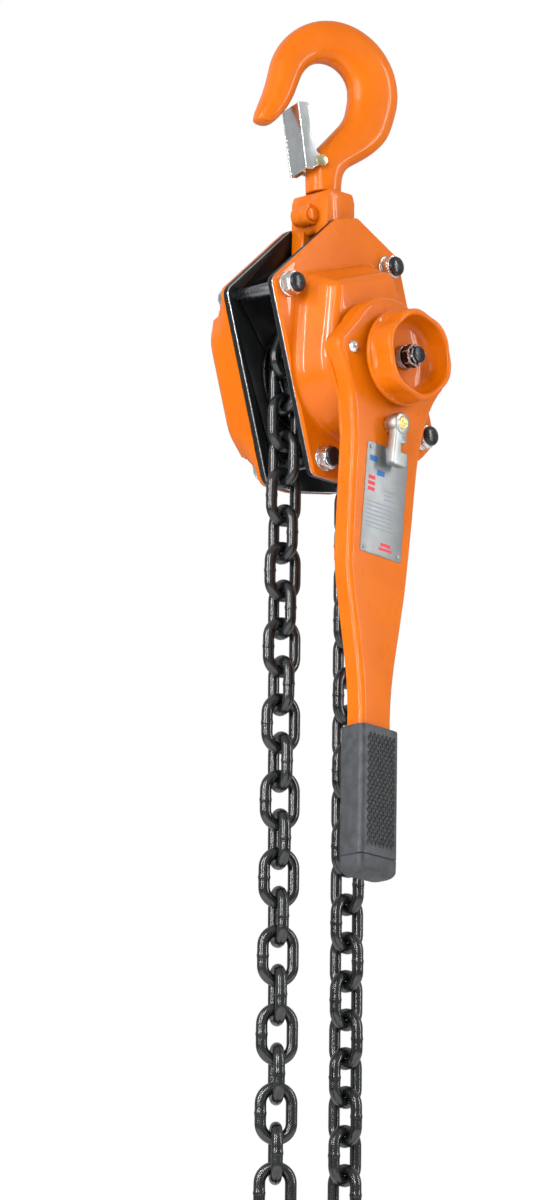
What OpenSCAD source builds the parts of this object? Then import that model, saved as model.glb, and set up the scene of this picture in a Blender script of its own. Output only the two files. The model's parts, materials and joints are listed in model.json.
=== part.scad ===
// Lever chain hoist (come-along), 3 tonne size, hanging from its top hook.
// Units are millimetres. +Z is up, -Y is the lever and hand wheel side.
// The origin is the centre of the top hook's bowl.

/* [Hang] */
// Height from the sheave axis up to the hook bowl's centre
sheave_drop = 240; // [236:1:246]
// Sideways place of the sheave axis under the hook
sheave_x = -3; // [-4:0.5:-2]
// Tilt of the unloaded body about the sheave axis
body_tilt = 17.5; // [17:0.5:18]
// Tilt of the lever about the sheave axis
lever_tilt = 5.2; // [0:0.1:12]
// Turn of the top hook on its swivel
hook_turn = 20; // [0:1:45]

/* [Hook] */
// Radius of the hook's bowl
bowl_r = 22; // [21:0.5:23]
// Radius of the hook's outer round
hook_outer_r = 57.3; // [56:0.1:58]
// Thickness of the hook
hook_t = 26; // [24:1:28]
// Radius of the hook's shank
shank_r = 14.3; // [13:0.1:15]

/* [Frame] */
// Gap between the side plates
plate_gap = 44; // [43:0.5:46]
// Thickness of a side plate
plate_t = 5.5; // [5:0.5:6]
// Thickness of the pressed covers
cover_t = 3; // [2.5:0.5:3]
// Width between the stay bolts
stay_w = 117.5; // [117:0.5:118]
// Height between the stay bolts
stay_h = 139; // [138:1:140]
// Radius of a stay bolt between the plates
stay_r = 5.5; // [5:0.5:6]

/* [Chain] */
// Pitch of the load chain
pitch = 30; // [29.5:0.1:30.5]
// Wire diameter of the load chain
wire_d = 9; // [8.5:0.1:9]
// Outer width of a link
link_w = 33; // [32.5:0.1:33.5]
// Links hanging on each side
run_links = 23; // [21:2:25]
// Twist from one hanging link to the next
link_twist = 1.95; // [0:0.05:2]

/* [Lever] */
// Front face of the lever, in front of the sheave's middle
lever_front_y = 82.5; // [82:0.5:83]
// Half width of the lever's arm
arm_hw = 35.5; // [34:0.5:37]
// Outward lean of the lower arm
arm_lean = 4.6; // [3:0.1:6]
// Length from the sheave axis to the grip's end
lever_len = 412; // [405:1:420]

/* [Hand wheel] */
// Radius of the hand wheel's base
wheel_r = 37.7; // [36:0.1:38]
// Depth of the hand wheel
wheel_depth = 24; // [22:1:25]

/* [Hidden] */
$fn = 64;
eps = 0.05;
run_fit = 0.06;
spline_fit = 0.03;
gap_half = plate_gap / 2;
plate_out = gap_half + plate_t;
cover_out = plate_out + cover_t;
dome_front = 62;
dome_foot_r = 57;
dome_foot_at = [[-20, 66], [42, 66]];
dome_top_r = 46;
dome_top_at = [[-18, 62], [38, 62]];
neck_bore_r = 24;
neck_r = 30;
neck_front = 69.3;
gear_back = 62;
stay_pocket_r = 15;
wheel_base = 88;
wheel_front = wheel_base + wheel_depth;
shaft_end = 110;
nut_back = 99.5;
cotter_r = 1.1;
shaft_step = 38;
spline_r = 7.5;
stud_r = 6;
stay_mid = 12.9;
stay_mid_w = 5.2;
stays = [for (su = [-1, 1], sw = [-1, 1]) [stay_mid + su * stay_w / 2, stay_mid_w + sw * stay_h / 2]];
bolt_r = 5;
bolt_hole_r = 5.2;
rivet_r = 4;
drill_fit = 0.02;
nut_flats = 17;
washer_t = 1.8;
top_pin_at = [32.9, 95];
top_pin_r = 9;
wire_r = wire_d / 2;
link_gap = 0.1;
link_hw = (link_w - wire_d) / 2;
link_hl = (pitch + link_gap) / 2 + wire_r;
flat_r = 34;
standing_r = 37;
run_x = 38;
run_first = 14.2;
lead_links = 2;
lead_slack = 0.3;
ring_r = 24;
ring_wire_r = 4;
chain_pin_r = 5.5;
bottom_lug_z = -141;
sheave_r = 44;
sheave_drum_r = 38.5;
sheave_hw = 20.5;
flange_t = 3;
groove_hw = 5.6;
pocket_floor = 27.9;
pocket_hw = 17.2;
pocket_hl = 25;
load_gear_seat_r = 12;
journal_r = 16;
bearing_r = 20;
shaft_r = 8;
gear_mod = 1.5;
small_teeth = 11;
big_teeth = 33;
gear_centre = gear_mod * (small_teeth + big_teeth) / 2;
disc_inner_r = 5;
disc_outer_r = 4;
hub_r = 14;
hub_flange_r = 25;
lining_t = 3;
lining_depths = [41, 49];
ratchet_r = 29;
stage_two = [29, 36.5];
stage_one = [38, 44.5];
selector_w = -54;
selector_shaft_r = 5;
selector_front = 99;
lever_rivets_at = [[-46, -2], [46, -2], [0, -150]];
latch_pin_at = [-9.2, -65.4];
latch_pin_r = 3;
spring_wire_r = 0.9;
yoke_top = -89;
swivel_head_z = -112;
swivel_head_r = 14;
swivel_head_h = 8;
swivel_neck_r = 9.5;
yoke_half_t = 20;
ear_at = [21, -111];
ear_depth = 8;
ear_r = 8;
arm_bend_w = -170;
neck_hw = 16.8;
neck_d = 16;
grip_end = -lever_len;
grip_top = -296;
grip_w = 41;
grip_d = 25;
grip_wall = 4.5;
grip_cap = 14;
lever_back_y = 69;
lever_wall = 3;

// ---- places ----

module in_axis() { translate([sheave_x, 0, -sheave_drop]) children(); }
module in_body() { in_axis() rotate([0, -body_tilt, 0]) children(); }
module in_lever() { in_axis() rotate([0, lever_tilt, 0]) children(); }
module in_top_hook() { rotate([0, 0, -hook_turn]) children(); }
module at_uw(p) { translate([p[0], 0, p[1]]) children(); }

// Depth counts towards the viewer, so a depth of 30 is y = -30.
module rod(r, back, front) { translate([0, -back, 0]) rotate([90, 0, 0]) cylinder(r = r, h = front - back); }
module slab(back, front) { translate([0, -back, 0]) rotate([90, 0, 0]) linear_extrude(front - back) children(); }
module hex_rod(flats, back, front) {
    translate([0, -back, 0]) rotate([90, 0, 0]) rotate([0, 0, 30])
        cylinder(r = flats / sqrt(3), h = front - back, $fn = 6);
}

// side is 1 for the viewer's side and -1 for the far one.
module on_side(side) { if (side > 0) children(); else mirror([0, 1, 0]) children(); }

// ---- outlines ----

// The points of the fillet of radius r at corner b, between a and c.
function corner(a, b, c, r, n = 5) =
    let (
        u = (a - b) / norm(a - b),
        v = (c - b) / norm(c - b),
        half = acos(u * v) / 2,
        mid = b + (u + v) / norm(u + v) * r / sin(half),
        p = b + u * r / tan(half) - mid,
        q = b + v * r / tan(half) - mid,
        a0 = atan2(p[1], p[0]),
        turn = (atan2(q[1], q[0]) - a0 + 540) % 360 - 180
    )
    [for (i = [0:n]) mid + r * [cos(a0 + turn * i / n), sin(a0 + turn * i / n)]];

// A closed outline from [x, y, fillet radius] corners.
function filleted(c) =
    let (n = len(c), xy = [for (p = c) [p[0], p[1]]])
    [for (i = [0:n - 1]) each corner(xy[(i + n - 1) % n], xy[i], xy[(i + 1) % n], c[i][2])];

// The side plate, with the tapering top offset towards the load side.
plate_corners = [
    [-60, -75, 7], [-31, -86, 30], [24, -95.5, 30], [70, -80, 14], [88, -71, 8],
    [88, 82, 9], [50, 118.5, 6], [26, 120.5, 8], [-60, 82, 8]
];

// The gear cover's crown is the plate's outline drawn in.
crown_corners = [
    [-58, -30, 30], [-40, -70, 20], [8, -82, 30], [52, -72, 20], [68, -38, 30],
    [70, 50, 25], [44, 82, 22], [-8, 98, 22], [-38, 80, 20], [-58, 40, 30]
];

module plate_outline() { polygon(filleted(plate_corners)); }

// Half-width of the lever at a height, listed from the head down.
arm_right = [[43, -40], [37, -72], [arm_hw, -120], [33.7, arm_bend_w + 1]];
neck_right = [[33.5, arm_bend_w], [29, -198], [23.5, -228], [18.6, -258], [neck_hw, -285]];

function mirrored(right) =
    concat(right, [for (i = [len(right) - 1:-1:0]) [-right[i][0], right[i][1]]]);

module lever_head_outline(inset = 0) {
    circle(r = 50 - inset);
    for (s = [-1, 1]) translate([s * 47, -2]) circle(r = 14 - inset);
    polygon([[49 - inset, 0], [60 - inset, -8], [43 - inset, -40], [-43 + inset, -40], [-60 + inset, -8],
        [-49 + inset, 0]]);
}

module arm_outline(right, inset = 0) {
    polygon(mirrored([for (p = right) [p[0] - inset, p[1]]]));
}

// An involute gear's outline.
function inv_angle(base, r) =
    let (t = sqrt(max((r / base) * (r / base) - 1, 0))) t * 180 / PI - atan(t);

function tooth(teeth, i, add = 0.9, play = 0.25, steps = 4) =
    let (
        rp = gear_mod * teeth / 2,
        rb = rp * cos(20),
        ra = rp + add * gear_mod,
        rf = rp - 1.25 * gear_mod,
        r0 = max(rb, rf),
        half = 90 / teeth - play / (2 * rp) * 180 / PI + inv_angle(rb, rp),
        mid = 360 * i / teeth,
        side = [for (k = [0:steps]) let (r = r0 + (ra - r0) * k / steps) [r, half - inv_angle(rb, r)]],
        foot = [rf - 0.01, side[0][1]]
    )
    concat(
        [for (p = concat([foot], side)) p[0] * [cos(mid - p[1]), sin(mid - p[1])]],
        [for (k = [steps:-1:0]) side[k][0] * [cos(mid + side[k][1]), sin(mid + side[k][1])]],
        [foot[0] * [cos(mid + foot[1]), sin(mid + foot[1])]]
    );

module gear_outline(teeth) { polygon([for (i = [0:teeth - 1]) each tooth(teeth, i)]); }

// A ratchet's outline: steep on one side of each tooth, sloping on the other.
module ratchet_outline(r, depth, teeth) {
    polygon([for (i = [0:teeth - 1]) let (a = 360 * i / teeth, step = 360 / teeth)
        each [r * [cos(a), sin(a)], (r - depth) * [cos(a + 0.1 * step), sin(a + 0.1 * step)],
              (r - depth * 0.9) * [cos(a + 0.45 * step), sin(a + 0.45 * step)]]]);
}

// ---- hook, latch and yoke, shared by both ends ----

// The hook lies in the XZ plane with its bowl's centre at the origin and its shank down.
module hook_shape() {
    difference() {
        union() {
            slab(-hook_t / 2, hook_t / 2) translate([8, 1]) circle(r = hook_outer_r, $fn = 96);
            slab(-hook_t / 2, hook_t / 2) polygon([
                [1 - shank_r, -76], [shank_r - 1, -76], [18, -66], [26, -60], [38, -54], [50, -43.5], [57, -33],
                [61, -22], [20, -10], [-8, -40], [-14, -58]
            ]);
            slab(-hook_t / 2, hook_t / 2) polygon(filleted([
                [-49, 14, 2], [-53, -8, 20], [-55.5, -17, 10], [-62, -31, 5], [-49, -36.5, 5], [-37, -24.5, 10],
                [-20, -2, 2], [-20, 14, 2]
            ]));
        }
        rod(bowl_r, -hook_t, hook_t, $fn = 96);
        // throat under the bowl, out past the tip
        slab(-hook_t, hook_t) polygon([
            [bowl_r - 0.1, 0], [22.8, -9], [21.5, -16], [15, -27], [-1, -45], [-9.5, -54], [-14.5, -61],
            [-24, -61], [-80, -61], [-80, -38], [-50, -38], [-48, -36], [-37, -24.5], [-20, -4], [-bowl_r + 0.6, 0]
        ]);
        at_uw(latch_pin_at) rod(latch_pin_r + run_fit, -hook_t, hook_t);
        // slot for the latch spring
        translate([-30, -4.5, latch_pin_at[1] - 6]) cube([27, 9, 12]);
    }
    // shank, with the swivel head that the yoke holds
    shank_foot = -73;
    translate([0, 0, swivel_head_z + eps]) cylinder(r = swivel_neck_r, h = shank_foot - swivel_head_z - 3);
    translate([0, 0, yoke_top + 0.4]) cylinder(r = shank_r, h = shank_foot - yoke_top - 0.4);
    translate([0, 0, swivel_head_z]) cylinder(r = swivel_head_r, h = swivel_head_h);
}

module latch_shape() {
    web_top = [-30.6, -19.5];
    web_low = [-22.6, -77];
    wall = 2;
    half = hook_t / 2 + 0.4;
    for (s = [-1, 1]) difference() {
        translate([0, s * (half + wall / 2), 0]) slab(-wall / 2, wall / 2) polygon(filleted([
            [web_top[0], web_top[1], 1], [web_low[0], web_low[1], 1], [-14, -77, 5], [-3, -69, 6],
            [-3.6, -60, 6], [-16, -50, 8], [-19, -18.5, 3]
        ]));
        at_uw(latch_pin_at) rod(latch_pin_r + run_fit, -hook_t, hook_t);
    }
    slab(-half - wall, half + wall) polygon([
        web_top, web_low, [web_low[0] + 2, web_low[1]], [web_top[0] + 2, web_top[1]]
    ]);
}

module latch_pin_shape() {
    half = hook_t / 2 + 2.4;
    head_half = 0.9;
    at_uw(latch_pin_at) {
        rod(latch_pin_r, -half, half);
        for (s = [-1, 1]) translate([0, s * (half + head_half), 0]) rod(latch_pin_r + 1.6, -head_half, head_half);
    }
}

module latch_spring_shape() {
    coil_r = 4.3;
    at_uw(latch_pin_at) rotate([90, 0, 0]) {
        for (k = [-1.5:1:1.5]) translate([0, 0, k * 1.7])
            rotate_extrude($fn = 32) translate([coil_r, 0]) circle(r = spring_wire_r, $fn = 16);
        translate([-coil_r, 0, 2.5]) rotate([-90, 0, 28]) cylinder(r = spring_wire_r, h = 7, $fn = 16);
    }
}

// Half of the yoke: a block around the shank, ears for the rivets and a lug for the pin.
// side is 1 for the half towards the viewer.
module yoke_half_shape(side, lug_at, lug_r, pin_r) {
    lug_in = 7;
    difference() {
        union() {
            on_side(side) slab(0.1, yoke_half_t) polygon(filleted([
                [-15.5, -124, 6], [15.5, -124, 6], [15.5, -97, 3], [13, -90, 3], [-13, -90, 3], [-15.5, -97, 3]
            ]));
            on_side(side) for (s = [-1, 1]) translate([s * ear_at[0], 0, ear_at[1]]) rod(ear_r, 0.1, ear_depth);
            on_side(side) slab(lug_in, yoke_half_t) hull() {
                translate([0, -118]) square([29, 8], center = true);
                translate(lug_at) circle(r = lug_r, $fn = 32);
            }
        }
        translate([0, 0, swivel_head_z - 0.3]) cylinder(r = swivel_head_r + 0.3, h = swivel_head_h + 0.6);
        translate([0, 0, -130]) cylinder(r = swivel_neck_r + run_fit, h = 60);
        for (s = [-1, 1]) translate([s * ear_at[0], 0, ear_at[1]]) rod(rivet_r, -40, 40);
        at_uw(lug_at) rod(pin_r + run_fit, -40, 40);
    }
}
module yoke_rivets_shape() {
    for (s = [-1, 1]) translate([s * ear_at[0], 0, ear_at[1]]) {
        head_half = 1.25;
        rod(rivet_r - eps, -ear_depth, ear_depth);
        for (q = [-1, 1]) translate([0, q * (ear_depth + head_half), 0]) rod(rivet_r + 1.2, -head_half, head_half);
    }
}

// ---- top end ----

module top_hook() { color("darkorange") in_top_hook() hook_shape(); }
module top_latch() { color("silver") in_top_hook() latch_shape(); }
module top_latch_pin() { color("silver") in_top_hook() latch_pin_shape(); }
module top_latch_spring() { color("dimgray") in_top_hook() latch_spring_shape(); }

// The top pin's place in the hook's frame.
top_lug = [
    sheave_x + top_pin_at[0] * cos(body_tilt) - top_pin_at[1] * sin(body_tilt),
    -sheave_drop + top_pin_at[0] * sin(body_tilt) + top_pin_at[1] * cos(body_tilt)
];

module yoke_front_half() { color("darkorange") yoke_half_shape(1, top_lug, top_pin_r + 6, top_pin_r); }
module yoke_back_half() { color("darkorange") yoke_half_shape(-1, top_lug, top_pin_r + 6, top_pin_r); }
module yoke_rivets() { color("darkorange") yoke_rivets_shape(); }

// ---- frame ----

module top_pin() { color("dimgray") in_body() at_uw(top_pin_at) rod(top_pin_r, -plate_out, plate_out); }

module side_plate(side, sheave_bore) {
    on_side(side) difference() {
        slab(gap_half, plate_out) plate_outline();
        rod(sheave_bore, 0, 40);
        at_uw(top_pin_at) rod(top_pin_r + eps, 0, 40);
        for (p = stays) at_uw(p) rod(bolt_r + eps, 0, 40);
        if (side > 0) for (p = pawl_pins_at) at_uw(p) rod(rivet_r + drill_fit, 0, 40);
        if (side < 0) for (s = [-1, 1]) translate([0, 0, s * gear_centre]) rod(disc_inner_r + run_fit, 0, 40);
    }
}
module front_side_plate() { color("#26292c") in_body() side_plate(1, bearing_r + eps); }
module back_side_plate() { color("#26292c") in_body() side_plate(-1, bearing_r + eps); }

module stay_bolts() {
    color("#1d1f21") in_body() for (p = stays) at_uw(p) {
        rod(stay_r, -gap_half, gap_half);
        rod(bolt_r, -gap_half - 20, gap_half + 20);
    }
}
module front_washers() {
    color("silver") in_body() for (p = stays) at_uw(p) difference() {
        rod(10.2, cover_out, cover_out + washer_t);
        rod(bolt_hole_r, cover_out - 1, cover_out + 3);
    }
}
module nut(back, front) {
    difference() {
        union() {
            hex_rod(nut_flats, back, front - 2);
            rod(nut_flats / 2 - 0.6, front - 3, front);
        }
        rod(bolt_r + drill_fit, back - 1, front + 1);
    }
}
module front_nuts() {
    color("silver") in_body() for (p = stays) at_uw(p) nut(cover_out + washer_t, cover_out + 10.6);
}
module back_nuts() {
    color("silver") in_body() mirror([0, 1, 0]) for (p = stays) at_uw(p) nut(cover_out, cover_out + 10);
}

// The pressed dome stands on a flat flange; its shell is the outer form less the inner one.
module brake_dome(inset, front) {
    hull() {
        slab(plate_out, plate_out + 0.5) circle(r = dome_foot_r - inset, $fn = 48);
        slab(plate_out, plate_out + 0.5) for (p = dome_foot_at) translate(p) circle(r = 14 - inset, $fn = 32);
        slab(front - 0.5, front) circle(r = dome_top_r - inset, $fn = 48);
        slab(front - 0.5, front) for (p = dome_top_at) translate(p) circle(r = 9 - inset, $fn = 32);
    }
}
module brake_cover() {
    color("darkorange") in_body() difference() {
        union() {
            slab(plate_out, cover_out) plate_outline();
            brake_dome(0, dome_front);
            rod(neck_r, dome_front - 1, neck_front);
        }
        brake_dome(cover_t, dome_front - cover_t);
        rod(neck_bore_r, dome_front - 10, neck_front + 1);
        for (p = stays) at_uw(p) rod(bolt_hole_r, plate_out - 1, cover_out + 1);
    }
}

module gear_crown(inset, back) {
    hull() {
        slab(plate_out, plate_out + 0.5) scale([1 - inset / 60, 1 - inset / 90])
            polygon(filleted(plate_corners));
        slab(back - 14, back - 13.5) scale([1 - inset / 60, 1 - inset / 90]) polygon(filleted(crown_corners));
        slab(back - 0.5, back) scale([0.9 - inset / 60, 0.92 - inset / 90]) polygon(filleted(crown_corners));
    }
}
module gear_cover() {
    color("darkorange") in_body() mirror([0, 1, 0]) difference() {
        union() {
            difference() {
                gear_crown(0, gear_back);
                gear_crown(cover_t + 0.5, gear_back - cover_t);
                for (p = stays) at_uw(p) rod(stay_pocket_r, cover_out, gear_back + 1);
            }
            for (p = stays) intersection() {
                at_uw(p) rod(stay_pocket_r + cover_t, plate_out, gear_back);
                difference() {
                    gear_crown(0, gear_back);
                    at_uw(p) rod(stay_pocket_r, cover_out, gear_back + 1);
                }
            }
            slab(plate_out, cover_out) difference() {
                plate_outline();
                circle(r = 62);
            }
            rod(11, 47, gear_back - 1);
            for (s = [-1, 1]) translate([0, 0, s * gear_centre]) rod(9, 47, gear_back - 1);
        }
        rod(stud_r + run_fit, 0, 56);
        for (s = [-1, 1]) translate([0, 0, s * gear_centre]) rod(disc_outer_r + run_fit, 0, 56);
        for (p = stays) at_uw(p) rod(bolt_hole_r, plate_out - 1, cover_out + 1);
    }
}

module sheave_bearings() {
    color("silver") in_body() for (side = [-1, 1]) on_side(side) difference() {
        rod(bearing_r, gap_half + 0.2, plate_out);
        rod(journal_r + run_fit, gap_half - 1, plate_out + 1);
    }
}

module chain_stripper() {
    color("dimgray") in_body() {
        slab(-gap_half, gap_half) polygon(filleted([[-15, -62, 3], [1, -60, 3], [1, -47, 2], [-15, -47, 2]]));
        slab(-4, 4) polygon(filleted([[-12, -50, 1], [-2, -50, 1], [-3, -34, 2], [-9, -34, 2]]));
    }
}

// ---- chain ----

// One link in the XZ plane, long axis up.
module link() {
    straight = link_hl - link_hw;
    for (s = [-1, 1]) {
        translate([s * link_hw, 0, -straight]) cylinder(r = wire_r, h = 2 * straight, $fn = 32);
        translate([0, 0, s * straight]) rotate([90, 0, 0]) rotate([0, 0, s > 0 ? 0 : 180])
            rotate_extrude(angle = 180, $fn = 48) translate([link_hw, 0]) circle(r = wire_r, $fn = 32);
    }
}

// Wrapped links stand at every 45 degrees over the top of the sheave, flat ones nearer the axis.
module wrapped_chain() {
    color("#2b2d30") in_axis() for (i = [0:3]) let (standing = i % 2 == 1)
        rotate([0, -22.5 - 45 * i, 0]) translate([standing ? standing_r : flat_r, 0, 0])
            rotate([0, 0, standing ? 0 : 90]) link();
}

// Height of hanging link k under the sheave's axis, counted down from the sheave.
function run_z(k) = -run_first - pitch * k + (k < lead_links ? 0 : lead_slack);

// The load run's first link stands and its links hang square.
module load_run(first, last) {
    in_axis() for (k = [first:last])
        translate([run_x, 0, run_z(k)]) rotate([0, 0, k % 2 == 0 ? 0 : 90]) link();
}
// The tail run's first link lies flat and its links twist a little, each from the one above.
module tail_run(first, last) {
    in_axis() for (k = [first:last])
        translate([-run_x, 0, run_z(k)]) rotate([0, 0, (k % 2 == 0 ? 90 : 0) - link_twist * k]) link();
}

module load_chain_lead() { color("#2b2d30") load_run(0, lead_links - 1); }
module load_chain() { color("#2b2d30") load_run(lead_links, run_links - 1); }
module tail_chain_lead() { color("#2b2d30") tail_run(0, lead_links - 1); }
module tail_chain() { color("#2b2d30") tail_run(lead_links, run_links - 1); }

// The ring hangs crosswise in the tail run's last link.
tail_end_z = run_z(run_links - 1) - link_hl + wire_r + ring_wire_r + 0.15 - ring_r;
module tail_stop_ring() {
    color("silver") in_axis() translate([-run_x, 0, tail_end_z]) rotate([90, 0, -link_twist * (run_links - 1)])
        rotate_extrude($fn = 64) translate([ring_r, 0]) circle(r = ring_wire_r, $fn = 24);
}

// ---- sheave and gear train ----

module load_sheave() {
    color("dimgray") in_axis() difference() {
        union() {
            rod(sheave_drum_r, -sheave_hw, sheave_hw);
            for (side = [-1, 1]) on_side(side) rod(sheave_r, sheave_hw - flange_t, sheave_hw);
            rod(journal_r, -plate_out, plate_out);
            rod(load_gear_seat_r, -37.3, 0);
        }
        rod(shaft_r + run_fit, -60, 60);
        difference() {
            rod(60, -groove_hw, groove_hw);
            rod(19.6, -groove_hw - 1, groove_hw + 1);
        }
        for (i = [0:3]) rotate([0, -22.5 - 90 * i, 0])
            translate([pocket_floor, -pocket_hw, -pocket_hl]) cube([30, 2 * pocket_hw, 2 * pocket_hl]);
    }
}
module load_gear() {
    color("dimgray") in_body() difference() {
        slab(-stage_two[1], -stage_two[0]) gear_outline(big_teeth);
        rod(load_gear_seat_r + spline_fit, -50, 0);
    }
}
module load_gear_ring() {
    color("dimgray") in_axis() difference() {
        rod(14.5, -37.7, -36.6);
        rod(load_gear_seat_r + spline_fit, -50, 0);
    }
}

// Every gear has a tooth on the +X axis: with 11 and 33 teeth, a quarter turn round, they mesh.
module disc_gear(s) {
    in_body() translate([0, 0, s * gear_centre]) {
        rod(disc_inner_r, -37, -gap_half - 0.2);
        rod(disc_outer_r, -55, -36);
        slab(-stage_two[1], -stage_two[0]) gear_outline(small_teeth);
        slab(-stage_one[1], -stage_one[0]) gear_outline(big_teeth);
    }
}
module upper_disc_gear() { color("dimgray") disc_gear(1); }
module lower_disc_gear() { color("dimgray") disc_gear(-1); }

module cotter(r) { translate([-9, -107.5, 0]) rotate([0, 90, 0]) cylinder(r = r, h = 18, $fn = 24); }
module pinion_shaft() {
    color("dimgray") in_body() {
        rod(stud_r, -55, -43);
        rod(shaft_r, -stage_one[0], shaft_step);
        slab(-stage_one[1], -stage_one[0]) gear_outline(small_teeth);
        rod(11, shaft_step - 5, shaft_step);
        rod(spline_r, shaft_step - 1, nut_back);
        difference() {
            rod(stud_r, nut_back - 1, shaft_end);
            cotter(cotter_r + eps);
        }
    }
}

// ---- brake ----

pawl_pins_at = [[-32.8, -22.9], [32.8, 22.9]];
pawl_tip = [-27.17, -3.58];

module friction_hub() {
    color("dimgray") in_body() difference() {
        union() {
            rod(hub_flange_r, shaft_step, lining_depths[0]);
            rod(hub_r, shaft_step + 2, lining_depths[1] + lining_t);
        }
        rod(spline_r + eps, 30, 60);
    }
}
module friction_discs() {
    color("saddlebrown") in_body() for (d = lining_depths) difference() {
        rod(hub_flange_r - 0.5, d, d + lining_t);
        rod(hub_r + 0.1, d - 1, d + lining_t + 1);
    }
}
module ratchet_disc() {
    color("dimgray") in_body() difference() {
        slab(lining_depths[0] + lining_t + eps, lining_depths[1] - eps) ratchet_outline(ratchet_r, 3.5, 12);
        rod(hub_r + 0.1, 40, 60);
    }
}
module pawl(s) {
    in_body() rotate([0, s > 0 ? 0 : 180, 0]) difference() {
        slab(44.3, 48.7) hull() {
            translate(pawl_pins_at[0]) circle(r = rivet_r + 1.5, $fn = 32);
            translate(pawl_tip) circle(r = 1.2, $fn = 16);
        }
        at_uw(pawl_pins_at[0]) rod(rivet_r + run_fit, 30, 60);
    }
}
module upper_pawl() { color("dimgray") pawl(1); }
module lower_pawl() { color("dimgray") pawl(-1); }
module pawl_pins() { color("silver") in_body() for (p = pawl_pins_at) at_uw(p) rod(rivet_r, gap_half, 51); }
module pawl_springs() {
    color("silver") in_body() for (p = pawl_pins_at) at_uw(p) rotate([90, 0, 0])
        for (k = [0:2]) translate([0, 0, 40 - 1.6 * k]) rotate_extrude($fn = 32)
            translate([5.2, 0]) circle(r = 0.85, $fn = 16);
}

// ---- lever ----

module change_gear() {
    color("dimgray") in_body() difference() {
        union() {
            slab(70.5, 78) change_teeth();
            rod(22, 52.1, 70.6);
            rod(12, 77.9, wheel_base - 0.5);
        }
        rod(spline_r + eps, 40, 95);
    }
}
module change_teeth() {
    teeth = 20;
    tip_r = 29;
    root_r = 25.5;
    half_step = 180 / teeth;
    polygon([for (i = [0:2 * teeth - 1]) (i % 2 == 0 ? tip_r : root_r) * [cos(half_step * i), sin(half_step * i)]]);
}

module lever_shell(inset, back, front) {
    slab(back, front) lever_head_outline(inset);
    slab(back, front) arm_outline(arm_right, inset);
}
module lean() {
    translate([0, -lever_front_y, arm_bend_w]) rotate([-arm_lean, 0, 0]) translate([0, lever_front_y, -arm_bend_w])
        children();
}
module bent_arm(inset, back, front, high, low) {
    right = concat([[neck_right[0][0], high]], neck_right, [[neck_hw, low]]);
    lean() slab(back, front) arm_outline(right, inset);
}
module lever_front() {
    color("darkorange") in_lever() difference() {
        union() {
            lever_shell(0, lever_back_y, lever_front_y);
            bent_arm(0, lever_front_y - neck_d, lever_front_y, arm_bend_w + 3, grip_end + grip_cap);
        }
        lever_shell(lever_wall, 60, lever_front_y - lever_wall);
        bent_arm(lever_wall, 40, lever_front_y - lever_wall, arm_bend_w + 8, grip_end + grip_cap - 4);
        rod(14, 60, lever_front_y + 1);
        translate([0, 0, selector_w]) rod(selector_shaft_r + run_fit, 60, 100);
        for (p = lever_rivets_at) at_uw(p) rod(rivet_r + drill_fit, 60, 100);
    }
}
module lever_back() {
    color("darkorange") in_lever() difference() {
        lever_shell(0, 66.2, lever_back_y);
        translate([-50, -lever_back_y - 1, arm_bend_w - 10]) cube([100, 5, 14]);
        rod(neck_r + run_fit, 60, 80);
        translate([0, 0, selector_w]) rod(selector_shaft_r - 1 + run_fit, 60, 100);
        for (p = lever_rivets_at) at_uw(p) rod(rivet_r + drill_fit, 60, 100);
    }
}
module lever_rivets() {
    color("silver") in_lever() for (p = lever_rivets_at) at_uw(p) {
        rod(rivet_r, 65.5, lever_front_y);
        rod(7, lever_back_y, lever_front_y - lever_wall);
        // the plate covers the lowest rivet's head
        if (p[1] > plate_top_w) difference() {
            translate([0, -lever_front_y + 1, 0]) sphere(r = 5.2, $fn = 48);
            translate([-8, -lever_front_y, -8]) cube([16, 16, 16]);
        }
    }
}
module rubber_grip() {
    front = lever_front_y + grip_wall;
    color("#1a1a1a") in_lever() lean() difference() {
        slab(front - grip_d, front) polygon(filleted([
            [-grip_w / 2, grip_end, 7], [grip_w / 2, grip_end, 7], [grip_w / 2, grip_top, 2],
            [-grip_w / 2, grip_top, 2]
        ]));
        slab(lever_front_y - neck_d, lever_front_y) polygon([
            [-neck_hw, grip_top + 5], [neck_hw, grip_top + 5], [neck_hw, grip_end + grip_cap],
            [-neck_hw, grip_end + grip_cap]
        ]);
    }
}
plate_top_w = -71.5;
plate_size = [45.8, 88];
plate_front = lever_front_y + 0.6;
plate_margin = 4;
module rating_plate() {
    color("silver") in_lever() slab(lever_front_y, plate_front) polygon(filleted([
        [-plate_size[0] / 2, plate_top_w - plate_size[1], 2], [plate_size[0] / 2, plate_top_w - plate_size[1], 2],
        [plate_size[0] / 2, plate_top_w, 2], [-plate_size[0] / 2, plate_top_w, 2]
    ]));
}
module rating_plate_rivets() {
    color("silver") in_lever() for (s = [-1, 1], w = [-plate_margin, plate_margin - plate_size[1]])
        translate([s * (plate_size[0] / 2 - plate_margin), 0, plate_top_w + w])
            rod(1.6, plate_front, plate_front + 0.9);
}

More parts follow.
